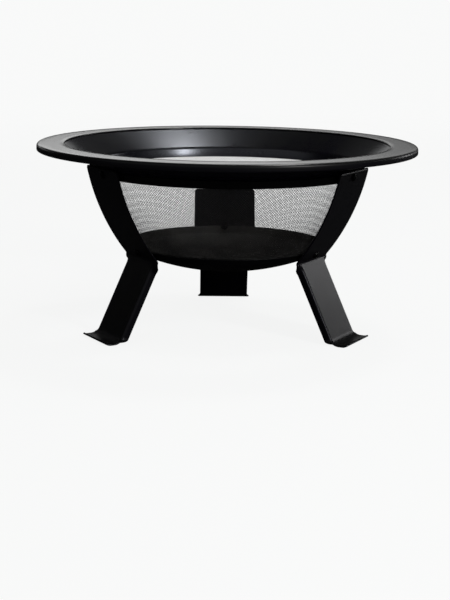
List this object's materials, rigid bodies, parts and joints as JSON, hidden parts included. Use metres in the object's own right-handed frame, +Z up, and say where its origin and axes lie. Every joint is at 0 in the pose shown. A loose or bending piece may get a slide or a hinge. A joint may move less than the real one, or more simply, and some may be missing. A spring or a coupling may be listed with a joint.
{
  "type": "fire pit",
  "caption": "Round fire pit: wide flat rim, bowl of woven wire with a dished solid pan, and splayed strap legs that fold under the bowl",
  "frame": {"origin": "On the floor, under the middle of the rim", "axes": "+Z up, -Y towards the gap between the two front legs, +X to the right seen from the front"},
  "size_m": [0.61, 0.61, 0.3],
  "materials": {
    "rim_paint": "satin black heat-resistant paint",
    "collar_paint": "satin black heat-resistant paint",
    "mesh_wire": "dark grey coated wire, fine plain weave",
    "band_paint": "satin black heat-resistant paint",
    "pan_paint": "satin black heat-resistant paint, slightly rougher inside",
    "leg_paint": "satin black heat-resistant paint",
    "fastener": "black zinc plated steel"
  },
  "bodies": {
    "root": {"rim_ring": "rim_paint", "collar": "collar_paint", "mesh_wall": "mesh_wire", "mesh_top_band": "band_paint", "mesh_bottom_band": "band_paint", "pan": "pan_paint", "leg_front_left": "leg_paint", "leg_front_right": "leg_paint", "leg_rear": "leg_paint", "collar_bolt_front_left": "fastener", "collar_bolt_front_right": "fastener", "collar_washer_front_left": "fastener", "collar_washer_front_right": "fastener", "collar_nut_front_left": "fastener", "collar_nut_front_right": "fastener", "pan_bolt_front_left": "fastener", "pan_bolt_front_right": "fastener", "pan_bolt_rear": "fastener", "pan_washer_front_left": "fastener", "pan_washer_front_right": "fastener", "pan_washer_rear": "fastener", "pan_nut_front_left": "fastener", "pan_nut_front_right": "fastener", "pan_nut_rear": "fastener"}
  },
  "joints": []
}
